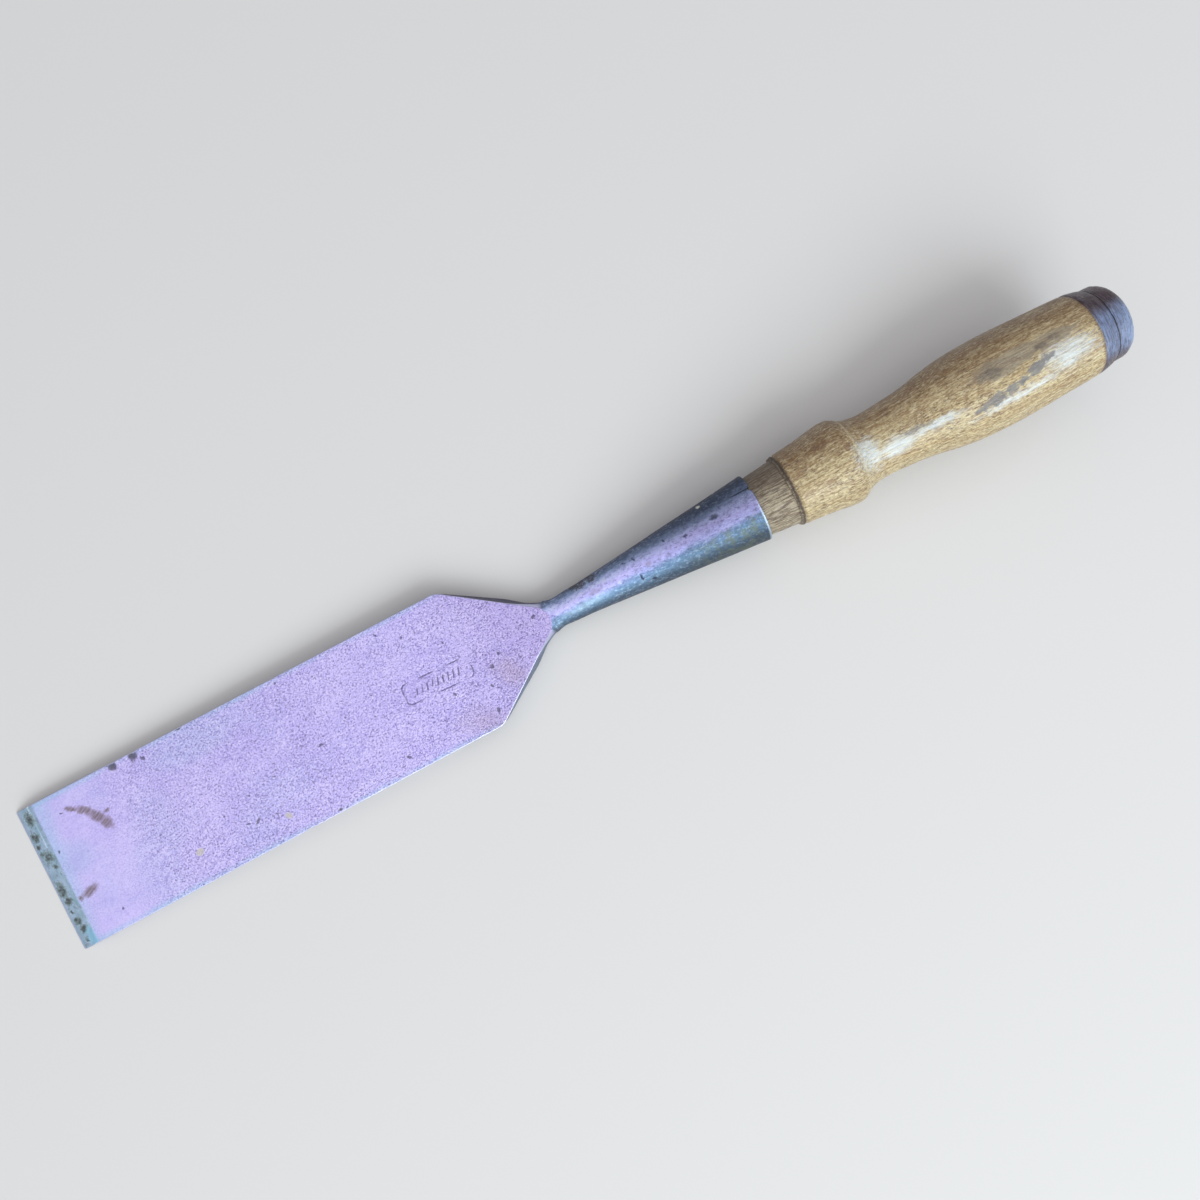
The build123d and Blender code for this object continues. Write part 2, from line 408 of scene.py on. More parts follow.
def ground_face(s, shaken):
    """Colour and relief of the ground face: lavender steel with pits, scratches and stains."""
    x, y = s.parts(s.place)[:2]
    wide = s.noise(s.place, 26, 4)
    cloudy = s.noise(s.place, 9, 5, 0.6, along=0.5)
    s.colour = s.blend(s.span(cloudy, 0.3, 0.7), LAVENDER, PALE_LAVENDER)
    s.fade(CYAN_STEEL, wide, 0.46, 0.66, 0.16)
    past_strip = s.minus(x, s.times(y, 0.11))
    heel_tint = s.times(s.span(past_strip, 12.5, 6), s.span(cloudy, 0.25, 0.6, 0.5, 0.95))
    s.lay(tone(186, 206, 246), heel_tint)
    border = s.span(s.math("ABSOLUTE", y), 22.6, 25)
    s.lay(CYAN_STEEL, s.times(border, s.span(wide, 0.35, 0.6, 0.25, 0.8)))
    cyan_cloud = s.blots(shaken, [(62, 19, 15, 6), (12, 3, 7, 6)], edge=0.9)
    s.lay(CYAN_STEEL, cyan_cloud, 0.3)

    ground_tone = s.noise(s.place, 0.54, 3, 0.78, along=0.85)
    textured = s.span(x, 18, 42, 0.35, 1)
    s.lay(tone(146, 136, 198), s.times(s.span(ground_tone, 0.48, 0.64, 0, 0.8), textured))
    s.lay(tone(228, 220, 255), s.times(s.span(ground_tone, 0.5, 0.34, 0, 0.9), textured))
    s.fade(tone(168, 152, 200), x, 140, 184, 0.35)
    lines = streaks(s, s.warped(s.place, 12, 1.5), 1.5, size=0.55, length=24)
    s.fade(COOL_STEEL, lines, 0.58, 0.75, 0.14)
    scratches = streaks(s, s.place, 62, size=0.35, length=40)
    s.fade(PALE_LAVENDER, scratches, 0.7, 0.78, 0.22)

    crowded = s.noise(s.place, 11)
    further = s.span(x, 22, 44, -0.14, 0)
    ends = s.span(x, 128, 172, 0, 0.04)
    lower = s.span(y, 6, -22, 0, 0.02)
    field = s.noise(s.place, 0.56, 2.5, 0.62, along=0.9)
    level = s.plus(field, s.plus(further, s.plus(ends, lower)))
    level = s.plus(level, s.times(s.minus(crowded, 0.5), 0.16))
    pits = s.span(level, 0.53, 0.61)
    deep_pits = s.span(level, 0.61, 0.70)
    s.lay(PIT_DARK, pits, 0.36)
    s.lay(DEEP_PIT, deep_pits, 0.5)
    rare = s.cells(s.warped(s.place, 2, 0.8), 5.2)
    craters = s.times(s.span(rare, 0.085, 0.045), s.span(x, 25, 60))
    s.lay(DARK_STEEL, craters, 0.6)

    feather = streaks(s, s.place, 28, size=0.6, length=9)
    stain = s.plus(s.blots(s.warped(s.place, 1.6, 2.2), FACE_STAINS, edge=1.3), feather)
    s.fade(STAIN_BROWN, stain, 0.7, 1.5, 0.75)
    stain_core = s.span(stain, 1.4, 1.62)
    s.lay(RUST, stain_core, 0.62)
    drifting = s.warped(s.place, 7, 9)
    tan_cloud = s.blots(drifting, [(153, -21, 8, 4, -20), (168, -10, 7, 3.5, -40)], 1.6)
    s.lay(tone(166, 148, 166), tan_cloud, 0.34)
    spots = s.blots(shaken, FACE_SPOTS, edge=0.55)
    s.lay(DARK_STEEL, spots, 0.7)
    edge_rust = s.blots(shaken, EDGE_RUST, edge=0.9)
    s.lay(DARK_RUST, edge_rust, 0.82)
    pale = s.blots(shaken, PALE_SPOTS, edge=0.4)
    s.lay(STAIN_YELLOW, pale, 0.75)

    sunk = s.most(s.most(pits, deep_pits), craters)
    rust = s.most(edge_rust, s.most(stain_core, s.times(pale, 0.6)))
    return s.colour, sunk, rust


def ground_strip(s, shaken):
    """Colour of the honed strip behind the edge: blue-green steel blotched with rust, with a painted
    highlight at its -Y end.
    """
    cloud = s.noise(s.place, 3.2, 5, 0.6)
    fine = streaks(s, s.place, 90, size=0.5, length=8)
    s.colour = s.blend(s.span(cloud, 0.35, 0.65), tone(160, 190, 208), tone(192, 216, 240))
    s.fade(tone(214, 226, 244), fine, 0.5, 0.7, 0.4)
    mottled = s.span(s.noise(s.place, 1.6, 4, 0.65), 0.5, 0.64)
    s.lay(OLIVE, mottled, 0.5)
    mottle = s.noise(s.place, 1.1, 4, 0.75)
    blotch = s.plus(s.blots(shaken, STRIP_RUST, edge=1.5), s.times(mottle, 2.2))
    rust = s.span(blotch, 1.25, 1.7)
    s.lay(tone(96, 112, 108), rust, 0.76)
    cores = s.span(blotch, 1.75, 2.2)
    s.lay(DARK_RUST, cores, 0.8)
    # Painted highlight: a bright cyan patch at the -Y end of the strip.
    strip_highlight = s.blot(shaken, (5.2, -22.6, 0), (2.2, 3.4, DEEP), edge=0.8)
    s.lay(tone(156, 214, 244), strip_highlight, 0.7)
    return s.colour, rust


def forged_socket(s, axis):
    """Colour of the neck and socket, with painted reflections set by which way it faces: dark on one
    flank, lavender on top, cyan on the other.
    """
    along, across, up = s.parts(axis)
    radius = s.plus(MOUTH_RADIUS, s.times(along, CONE_SLOPE))
    turn = s.math("DIVIDE", across, s.most(radius, MOUTH_RADIUS / 2))
    drift = s.noise(axis, 3.4, 5, 0.68, along=0.35)
    turn = s.plus(turn, s.times(s.minus(drift, 0.5), 0.5))
    # Painted reflections: colour follows which way the surface faces, blue to cyan towards -Y, lavender
    # on top, dark towards +Y, darkest where the flanks turn under.
    s.colour = s.colours(s.span(turn, -1.2, 1.2), [
        (0, tone(64, 74, 86)),
        (0.14, tone(84, 106, 126)),
        (0.26, tone(88, 112, 138)),
        (0.36, tone(104, 122, 156)),
        (0.45, tone(156, 158, 206)),
        (0.58, tone(164, 160, 208)),
        (0.74, tone(160, 166, 204)),
        (0.84, tone(120, 134, 162)),
        (0.92, tone(74, 86, 108)),
        (1, tone(52, 58, 74)),
    ])
    scale = s.noise(axis, 2.2, 5, 0.68, along=0.5)
    s.fade(DARK_STEEL, scale, 0.52, 0.72, 0.4)
    rubbed = s.noise(axis, 0.8, along=0.16)
    s.fade(tone(196, 204, 226), rubbed, 0.6, 0.78, 0.35)
    grit = s.noise(axis, 1, 5, 0.74, along=0.7)
    s.fade(DARK_STEEL, grit, 0.5, 0.68, 0.55)
    s.fade(tone(196, 208, 230), grit, 0.48, 0.34, 0.24)
    # Painted highlight: the reflections on both flanks are brightened towards the neck.
    nearer = s.span(along, -16, -60)
    lift = s.plus(s.span(turn, -0.5, -0.1, 0.46, 0.76), s.span(turn, 0.2, 0.8, 0, 0.3))
    s.colour = s.vector("SCALE", s.colour, Scale=s.plus(1, s.times(nearer, lift)))
    # Painted shade: darker on the underside.
    below = s.span(up, 1, -5)
    s.lay(DARK_STEEL, below, 0.6)
    shaken = s.warped(axis, 2.6, 2.2)
    mouth_zone = s.times(s.span(along, -36, -12), s.span(across, 0, -5))
    mottled = s.span(s.noise(axis, 3, 5, 0.7), 0.44, 0.6)
    s.lay(tone(98, 108, 100), s.times(mouth_zone, s.times(mottled, 0.75)))
    clusters = s.blots(shaken, [(-65.5, 4.7, 3.6, 2), (-60.3, 5, 2.6, 1.6)], edge=0.9)
    clumps = s.noise(axis, 1.1, 4, 0.7)
    crust = s.span(s.plus(clusters, s.times(clumps, 2)), 1.7, 2.1)
    s.lay(tone(78, 70, 66), crust, 0.85)
    film = s.blots(shaken, [(-60.5, 0.2, 2.6, 0.8), (-41, 0.3, 1.2, 0.9)], edge=1.2)
    s.lay(tone(128, 112, 116), film, 0.4)
    marks = s.blots(s.warped(axis, 0.9, 1.3), [
        (-44.8, -2.8, 0.35, 1.1), (-41, -5.2, 0.8, 0.45, -30), (-15, 3.4, 1.6, 0.8),
        (-44.6, 3.7, 0.5, 0.8, 20), (-48.6, 4.2, 0.6, 0.35), (-26, 2.6, 0.7, 0.5),
        (-33, 4.4, 0.35, 0.45),
    ], edge=1)
    s.lay(tone(40, 46, 70), marks, 0.85)
    peppered = s.span(s.noise(axis, 0.55, 3, 0.65), 0.6, 0.68)
    near_mouth = s.times(s.span(along, -12, -4), s.span(across, -3, 2))
    specks = s.times(peppered, s.most(near_mouth, 0.25))
    s.lay(SCALE_DARK, specks, 0.7)
    off_seam = s.math("ABSOLUTE", s.minus(across, s.plus(6.2, s.times(drift, 0.8))))
    seam = s.times(s.span(off_seam, 0.3, 0.1), s.span(along, -9, -5), s.span(up, 0, 3))
    s.lay(SCALE_DARK, seam, 0.8)
    fleck = s.blot(s.warped(axis, 1, 0.5), (-17.6, 9.4, 7), (1.1, 0.9, 3), edge=0.3)
    s.lay(tone(206, 206, 196), fleck)
    # Painted highlight: a bright cyan streak on the -Y side of the neck.
    neck_highlight = s.blot(shaken, (-66, -2.1, 4), (8, 1.1, 8), edge=1.3)
    s.lay(tone(212, 240, 255), neck_highlight, 0.25)
    # Painted highlight along the mouth's rim on the lit -Y side.
    rim_highlight = s.times(s.span(along, -1.1, -0.5), s.span(across, 4, -2))
    s.lay(tone(204, 220, 240), rim_highlight, 0.6)
    return s.colour, s.most(crust, s.most(marks, specks))


def face_iron():
    """Iron of the blade, neck and socket."""
    s = Shader("face_iron")
    x, y = s.parts(s.place)[:2]
    shaken = s.warped(s.place, 2.4, 1.9)
    face_colour, sunk, rust = ground_face(s, shaken)
    strip_colour, strip_rust = ground_strip(s, s.warped(s.place, 1.5, 1.9))
    strip_edge = s.times(y, BOUNDARY_SLOPE)
    behind = s.minus(s.minus(x, strip_edge), STRIP_LENGTH)
    on_strip = s.span(behind, 0.25, -0.25)
    blade_colour = s.blend(on_strip, face_colour, strip_colour)
    axis = s.along_axis()
    socket_colour, socket_marks = forged_socket(s, axis)
    wander = s.times(s.noise(s.place, 2), 0.8)
    swept_back = s.math("MINIMUM", s.times(y, y, 0.09), NOSE_REACH)
    nose = s.minus(NOSE_X + NOSE_REACH + 0.4, swept_back)
    past_nose = s.minus(s.plus(x, wander), nose)
    on_neck = s.span(past_nose, -0.3, 0.9)
    s.colour = s.blend(on_neck, blade_colour, socket_colour)

    # Pale along the arris: its polish, with a painted highlight laid over it.
    s.lay(tone(222, 226, 255), s.mask("arris"), 0.75)
    on_side = s.mask("side")
    film = s.noise(s.place, 2.6, 5, 0.65, along=0.35)
    side_tone = s.blend(s.span(film, 0.4, 0.66), tone(92, 94, 112), tone(58, 56, 66))
    shoulder_side = s.span(x, BLADE_LENGTH - 8, BLADE_LENGTH + 6)
    side_tone = s.blend(s.times(shoulder_side, 0.7), side_tone, tone(58, 60, 70))
    # Painted reflection of the lit side: paler cyan on the -Y shoulder.
    paler = s.times(s.span(y, 0, -3), s.span(film, 0.3, 0.6, 1, 0.5))
    side_tone = s.blend(s.times(paler, shoulder_side), side_tone, tone(128, 152, 168))
    s.lay(side_tone, on_side, 0.85)
    stamped = s.mask("stamp")
    s.lay(tone(66, 62, 92), stamped, 0.72)

    any_rust = s.most(s.times(rust, s.span(x, NECK_X + 5, NECK_X - 1)), s.times(strip_rust, on_strip))
    any_rust = s.most(any_rust, s.times(socket_marks, on_neck))
    fine = s.noise(s.place, 1, 4, 0.65)
    rough = s.span(fine, 0.3, 0.7, 0.33, 0.43)
    rough = s.plus(rough, s.times(any_rust, 0.3))
    rough = s.plus(rough, s.times(s.most(on_side, on_neck), 0.12))
    metal = s.minus(1, s.times(any_rust, 0.7))
    s.set(Base_Color=s.colour, Metallic=metal, Roughness=rough)
    brushed = s.noise(axis, 0.9, along=0.12)
    on_socket = s.span(x, NECK_X - 5, NECK_X - 1)
    s.relief((s.minus(1, sunk), 0.035), (fine, 0.012), (s.times(brushed, on_socket), 0.05))
    return s.material


def edge_steel():
    """Hard steel of the facing: bright at the edge, partly a painted highlight on the fresh hone, honed
    strip above, plain lapped back below.
    """
    s = Shader("edge_steel")
    x, y = s.parts(s.place)[:2]
    rust = ground_strip(s, s.warped(s.place, 1.5, 1.9))[1]
    back = s.minus(x, s.times(y, EDGE_SLOPE))
    # The fresh hone along the edge, with a painted highlight on it.
    bright = s.span(s.plus(back, s.times(s.noise(s.place, 1.4), 0.4)), 1.1, 0.7)
    s.lay(tone(190, 202, 232), bright, 0.8)
    facing_up = s.parts(s.add("ShaderNodeTexCoord").outputs["Normal"])[2]
    lapped = streaks(s, s.place, 40, size=0.3, length=30)
    crossed = streaks(s, s.place, -25, size=0.35, length=30)
    plain = s.blend(s.span(lapped, 0.4, 0.65), tone(170, 172, 192), tone(146, 148, 170))
    plain = s.blend(s.span(crossed, 0.6, 0.75, 0, 0.5), plain, tone(196, 198, 214))
    patches = s.span(s.noise(s.place, 9, 5, 0.65), 0.52, 0.68)
    plain = s.blend(s.times(patches, 0.45), plain, tone(104, 98, 104))
    on_top = s.span(facing_up, 0.3, 0.6)
    s.colour = s.blend(on_top, plain, s.colour)
    rusted = s.times(rust, on_top, s.minus(1, bright))
    fine = s.noise(s.place, 0.9, 4, 0.65)
    rough = s.plus(s.span(fine, 0.3, 0.7, 0.28, 0.4), s.times(rusted, 0.3))
    metal = s.minus(1, s.times(rusted, 0.7))
    s.set(Base_Color=s.colour, Metallic=metal, Roughness=rough)
    s.relief((lapped, 0.006), (fine, 0.015))
    return s.material


GOLD = tone(174, 155, 112)
PALE_GOLD = tone(186, 174, 134)
BROWN = tone(132, 102, 70)
DARK_BROWN = tone(82, 62, 44)
GREY_WOOD = tone(132, 122, 106)
SLATE = tone(106, 108, 113)
# Colour of the painted glare on the handle.
GLARE_WHITE = tone(206, 220, 227)


def handle_wood():
    """Fine-grained hardwood, golden and waxy, with painted shade making it browner on the +Y side and
    underneath, painted glare and highlights, grime and grey smears.
    """
    s = Shader("handle_wood")
    axis = s.along_axis()
    along, across, up = s.parts(axis)
    wavy = s.warped(s.stretched(axis, (0.12, 1, 1)), 6, 1.6)
    rings = s.noise(wavy, 2.6, 4, 0.6, along=0.3)
    grain = s.noise(axis, 0.5, 4, 0.68, along=0.05)
    crowding = s.noise(axis, 7, along=0.4)
    s.colour = s.blend(s.span(rings, 0.36, 0.66), PALE_GOLD, GOLD)
    # Browner in random patches, and with painted shade growing towards +Y.
    tan_and_side_shade = s.plus(s.times(across, 0.06), s.times(crowding, 1.1))
    s.fade(tone(144, 112, 76), tan_and_side_shade, 0.35, 1.2, 0.85)
    # Painted shade: dark brown on the +Y flank.
    s.fade(tone(106, 80, 48), across, 5, 13, 0.7)
    # Painted shade: browner underneath.
    under = s.span(up, 2, -8)
    s.lay(BROWN, under, 0.35)
    s.fade(BROWN, grain, 0.44, 0.62, 0.75)
    s.fade(tone(216, 202, 162), grain, 0.48, 0.32, 0.7)
    mottling = s.noise(axis, 0.62, 3, 0.72, along=0.45)
    s.fade(tone(120, 90, 60), mottling, 0.49, 0.66, 0.7)
    s.fade(tone(214, 200, 162), mottling, 0.5, 0.35, 0.42)
    flecks = s.noise(axis, 0.44, 2, 0.6, along=0.25)
    fleck_level = s.plus(flecks, s.times(s.minus(crowding, 0.5), 0.25))
    s.fade(DARK_BROWN, fleck_level, 0.56, 0.66, 0.66)

    tenon = s.span(s.plus(along, grain), STEP_AT + 2.2, STEP_AT + 1.4)
    tenon_streaks = s.noise(axis, 0.6, 4, 0.75, along=0.08)
    tenon_colour = s.blend(s.span(tenon_streaks, 0.38, 0.62), tone(172, 160, 136), tone(96, 80, 64))
    banding = s.noise(s.stretched(axis, (1, 0.3, 0.3)), 0.8, 4, 0.72)
    tenon_colour = s.blend(s.span(banding, 0.5, 0.68, 0, 0.45), tenon_colour, tone(92, 82, 66))
    tenon_colour = s.blend(s.span(across, -2, 8, 0, 0.55), tenon_colour, tone(84, 68, 56))
    s.lay(tenon_colour, tenon)

    shaken = s.warped(axis, 3, 3)
    top_only = s.span(up, 0, 5)
    grime_field = s.noise(axis, 1.3, 5, 0.68, along=0.35)

    def grime(colour, patches, unevenness, low, high, amount):
        """Dirt in patches on the upper side, broken up by the grime field."""
        level = s.plus(patches, s.times(grime_field, unevenness))
        dirty = s.times(s.span(level, low, high), top_only)
        s.lay(colour, dirty, amount)
        return dirty

    worn_patch = s.blots(shaken, [
        (86, 2.8, 10, 3.8), (94, 3.2, 7, 3), (102, 3.4, 9.5, 2.6),
        (111, 3.2, 4, 0.8),
    ], edge=0.6)
    grime(GREY_WOOD, worn_patch, 2.2, 1.3, 2.1, 0.7)
    dark_core = s.blots(shaken, [(103, 3, 7, 1.2, 4), (82, 2.4, 5.5, 2.2)], edge=0.9)
    grime(tone(92, 82, 74), dark_core, 2.8, 2, 2.7, 0.7)

    # Painted glare highlights: whitish streaks over the top of the grip and waist.
    glare = s.blots(shaken, [
        (108, -3.4, 10, 4.4, -3), (88, -8, 14, 1.4, 2), (38.2, -2, 5.2, 5.6),
        (48, -4, 7, 3), (62, -3.8, 9, 1.6),
    ], edge=1.3)
    pale_lines = s.noise(axis, 0.7, 4, 0.75, along=0.08)
    glare_level = s.plus(glare, s.times(pale_lines, 2.6))
    painted_glare = s.times(s.span(glare_level, 1.35, 3), top_only)
    s.lay(GLARE_WHITE, painted_glare, 0.9)
    # Painted highlights: pale gold streaks along the crest.
    crest = s.blots(shaken, [(98, 8.2, 22, 3.2), (66, 5.5, 12, 2.6)], edge=1.6)
    crest_highlight = s.times(crest, s.span(pale_lines, 0.44, 0.66), top_only)
    s.lay(tone(214, 196, 152), crest_highlight, 0.6)

    smear_shake = s.warped(axis, 1.7, 2.8)
    smear = s.blots(smear_shake, [
        (75.6, -6.5, 2.8, 0.9), (81, -5.8, 3.9, 2, 6), (86.6, -5.2, 3, 1.5, 12),
        (90.8, -4.2, 2.8, 1.1, 16), (95.6, -3, 3.8, 1.9, 14), (100.4, -1.4, 3.4, 1.3, 16),
    ], edge=0.9)
    smeared = grime(SLATE, smear, 2.2, 1.4, 2, 0.8)
    smudge = s.blots(shaken, [(55, -1.8, 4.5, 1.5), (59, -2.4, 2.2, 1)], edge=0.9)
    grime(SLATE, smudge, 1.8, 1.4, 2, 0.55)
    burns = s.blots(shaken, [(32.5, 3, 1.4, 1.2), (25, 8, 3.4, 1.3)], edge=0.9)
    burnt = s.span(s.plus(burns, grime_field), 0.95, 1.3)
    s.lay(tone(110, 80, 58), burnt, 0.6)

    # Painted shade in the groove at the step.
    shaky_along = s.plus(along, s.times(s.noise(axis, 2.4), 1.2))
    into = s.span(shaky_along, GROOVE_AT - 0.1, GROOVE_AT + 0.5)
    groove_shade = s.times(into, s.span(shaky_along, GROOVE_AT + 1.3, GROOVE_AT + 0.7))
    s.lay(tone(58, 44, 34), groove_shade, 0.85)
    # Painted highlight along the ridge.
    up_ridge = s.span(along, RIDGE_AT - 0.5, RIDGE_AT)
    ridge_highlight = s.times(up_ridge, s.span(along, RIDGE_AT + 1, RIDGE_AT + 0.3))
    s.lay(tone(216, 206, 170), ridge_highlight, 0.3)
    last = s.span(along, CAP_START - 1.4, CAP_START - 0.3)
    s.lay(tone(96, 72, 54), last, 0.6)

    rough = s.span(crowding, 0.35, 0.65, 0.40, 0.52)
    rough = s.plus(rough, s.times(s.most(tenon, smeared), 0.2))
    s.set(Base_Color=s.colour, Roughness=rough, Coat_Weight=0.18, Coat_Roughness=0.38)
    unpitted = s.minus(1, s.span(fleck_level, 0.58, 0.7))
    s.relief((unpitted, 0.05), (grain, 0.05), (s.times(tenon_streaks, tenon), 0.35))
    return s.material


def cap_leather():
    """Hard, dark, mallet-beaten leather with fine layers and a painted bluish sheen."""
    s = Shader("cap_leather")
    axis = s.along_axis()
    along, across = s.parts(axis)[:2]
    wavy = s.warped(axis, 5, 0.8)
    layers = s.noise(s.stretched(wavy, (2.6, 0.2, 0.2)), 0.8, 4, 0.72)
    hide = s.noise(axis, 1.2, 5, 0.68)
    s.colour = s.blend(s.span(layers, 0.4, 0.6), tone(48, 38, 42), tone(92, 76, 84))
    # Painted sheen: a bluish reflection over the -Y half, fading at its edge.
    middle = s.times(s.span(across, 6.5, 0.5), s.span(across, -13, -8.5))
    painted_sheen = s.times(middle, s.span(layers, 0.38, 0.58, 0.35, 1))
    blue = s.blend(s.span(along, WASHER_SPLIT, CAP_END), tone(114, 134, 172), tone(150, 176, 218))
    s.lay(blue, painted_sheen, 0.88)
    s.fade(tone(62, 52, 58), hide, 0.54, 0.7, 0.55)
    s.fade(tone(132, 124, 136), hide, 0.46, 0.3, 0.4)
    seam = s.math("ABSOLUTE", s.minus(along, WASHER_SPLIT))
    s.lay(tone(20, 15, 15), s.span(seam, 0.5, 0.1), 0.85)
    beaten = s.span(along, CAP_END - 1.2, CAP_END)
    s.lay(tone(104, 86, 78), s.times(beaten, s.span(hide, 0.35, 0.6)))
    s.set(Base_Color=s.colour, Roughness=s.span(hide, 0.3, 0.7, 0.36, 0.56))
    s.set(Coat_Weight=0.3, Coat_Roughness=0.32)
    s.relief((layers, 0.22), (hide, 0.1))
    return s.material


def peg_wood():
    """Dark, bruised end grain of the centre peg, and its plain sides."""
    s = Shader("peg_wood")
    axis = s.along_axis()
    pores = s.cells(s.stretched(axis, (0.05, 1, 1)), 0.5)
    grain = s.noise(axis, 0.8, 4, along=0.08)
    s.colour = s.blend(s.span(grain, 0.35, 0.65), tone(134, 104, 72), tone(104, 78, 54))
    s.fade(tone(54, 38, 28), pores, 0.25, 0.1)
    s.set(Base_Color=s.colour, Roughness=s.span(grain, 0.3, 0.7, 0.5, 0.65))
    s.relief((s.math("MINIMUM", pores, grain), 0.08))
    return s.material


def floor_paper():
    s = Shader("floor_paper")
    s.set(Base_Color=tone(206, 205, 204), Roughness=0.9)
    return s.material


# ---- blade shape, in millimetres
EDGE_SLOPE = 0.0201          # how far the edge leans forward for each millimetre across
BOUNDARY_SLOPE = 0.018       # the same for the line where the honed strip ends
STRIP_LENGTH = 6.75
STRIP_RISE = 2.91
HONE_WIDTH = 0.8
HONE_RISE = 0.53
STEEL_TOP = steel_high.z
STEEL_END = steel_high.x
STEEL_SCARF = 14
HEEL_X = 12.6
HEEL_HEIGHT = 3.35
FACE_SLOPE = tan(radians(1.68))
BLADE_LENGTH = 157.5
SHOULDER_SLOPE = 0.64
EDGE_HALF = steel_high.y
SHOULDER_HALF = 25.03
NOSE_X = 186.2
NOSE_REACH = 1.4
NOSE_HALF = 3.9
NECK_HALF = 5.12
CONE_START_X = mouth.x - SOCKET_LENGTH * PULL.x
CONE_TIP_RADIUS = MOUTH_RADIUS - SOCKET_LENGTH * CONE_SLOPE
SKEW_FADES_AT = 24
WORN_HEEL_X = 8.2            # where the bevel meets the face at the worn corner
NECK_X = 191                 # past here the neck widens towards the socket
BULGE_START_X = 172          # from here the face draws out into the nose

MEET_PART = (STEEL_TOP - HONE_RISE) / (STRIP_RISE - HONE_RISE)
MEET_X = HONE_WIDTH + (STRIP_LENGTH - HONE_WIDTH) * MEET_PART
lean_at = curve_through([
    (0, EDGE_SLOPE),
    (MEET_X, mix(EDGE_SLOPE, BOUNDARY_SLOPE, MEET_X / STRIP_LENGTH)),
    (STRIP_LENGTH, BOUNDARY_SLOPE),
    (SKEW_FADES_AT, 0),
])

STAMP_X, STAMP_Y = 144.7, -1.4
STAMP_TURN = radians(-2.6)
STAMP_HALF_LENGTH, STAMP_HALF_WIDTH, STAMP_CORNER = 12.2, 3.6, 1.7
STAMP_DEPTH = 0.13

# Nicks in the long edges: place, side, depth and size
EDGE_NICKS = [
    (37.6, 1, 0.22, 1.1), (44.7, 1, 0.25, 1.2), (84.5, -1, 0.3, 0.8), (96, 1, 0.12, 0.6),
    (121, -1, 0.14, 0.7),
]


def face_height(x):
    return HEEL_HEIGHT + (x - HEEL_X) * FACE_SLOPE


def strip_height(x, y):
    """Height of the honed strip, steeper for its first hairline behind the edge."""
    back = x - EDGE_SLOPE * y
    width = STRIP_LENGTH + (BOUNDARY_SLOPE - EDGE_SLOPE) * y
    if back <= HONE_WIDTH:
        return HONE_RISE * max(back, 0) / HONE_WIDTH
    return HONE_RISE + (back - HONE_WIDTH) * (STRIP_RISE - HONE_RISE) / (width - HONE_WIDTH)


def top_height(x, y):
    """Height of the blade's upper surface: strip, worn heel and face."""
    heel = mix(WORN_HEEL_X, HEEL_X, ramp(-24, -2, y))
    boundary = STRIP_LENGTH + BOUNDARY_SLOPE * y
    heel_slope = (face_height(heel) - STRIP_RISE) / (heel - boundary)
    worn = STRIP_RISE + (x - boundary) * heel_slope
    upper = soft_min(worn, face_height(x), 0.25)
    uneven = 0.03 * ripple(x, y, 0, 21, 1) + 0.012 * ripple(x, y, 0, 6, 2)
    return soft_min(strip_height(x, y), upper, 0.06) + uneven * ramp(STRIP_LENGTH, HEEL_X, x)


def stamp_groove(x, y):
    """0 to 1 in the worn mark pressed into the face: a plain rounded border and a row of dashes."""
    ax, ay = x - STAMP_X, y - STAMP_Y
    u = ax * cos(STAMP_TURN) + ay * sin(STAMP_TURN)
    v = ay * cos(STAMP_TURN) - ax * sin(STAMP_TURN)
    qx = abs(u) - (STAMP_HALF_LENGTH - STAMP_CORNER)
    qy = abs(v) - (STAMP_HALF_WIDTH - STAMP_CORNER)
    outside = hypot(max(qx, 0), max(qy, 0)) + min(max(qx, qy), 0) - STAMP_CORNER
    border = ramp(0.34, 0.12, abs(outside))
    pitch = 1.9
    slanted = u - 0.3 * v
    nearest = round(slanted / pitch)
    dash = 0
    if abs(nearest) <= 4:
        dash = ramp(0.36, 0.12, abs(slanted - nearest * pitch)) * ramp(1.55, 1.2, abs(v))
    wear = ramp(-0.45, 0.1, ripple(x, y, 0, 4.5, 3))
    return max(border, dash) * wear


def side_half(x):
    """Half width of the blade, before the shoulders."""
    return mix(EDGE_HALF, SHOULDER_HALF, max(x, 0) / BLADE_LENGTH)


def lower_half(x):
    """Half width of the forging low down: blade, sloping shoulders and neck in one line."""
    shoulder = SHOULDER_HALF + 0.15 - SHOULDER_SLOPE * (x - BLADE_LENGTH)
    neck = NECK_HALF + 0.02 * max(x - NECK_X, 0)
    return soft_min(side_half(x), soft_max(shoulder, neck, 2.2), 1.4)


def upper_half(x):
    """Half width of the flat face, drawn in where the shoulders lean."""
    lean = 0.15 + 0.078 * (x - BLADE_LENGTH)
    shoulder = SHOULDER_HALF - SHOULDER_SLOPE * (x - BLADE_LENGTH) - lean
    return soft_min(side_half(x), soft_max(shoulder, NOSE_HALF, 1), 1.2)


def nick_depth(x, side):
    here = [nick for nick in EDGE_NICKS if nick[1] == side]
    return sum(depth * exp(-((x - place) / size) ** 2) for place, _, depth, size in here)


def back_height(x):
    """Underside of the iron, which rests on the steel as far as its scarfed end."""
    return STEEL_TOP * min(max((STEEL_END - x) / STEEL_SCARF, 0), 1)


def face_columns():
    """Places across the face from +1 to -1, close together in the middle."""
    half = SHOULDER_HALF
    middle = steps(0, 6.4, 0.2)
    outer = steps(6.4, 24.2, 0.9)
    places = middle + outer + [24.2, 24.62, half]
    positive = [place / half for place in places if place > 0]
    return positive[::-1] + [0] + [-place for place in positive]


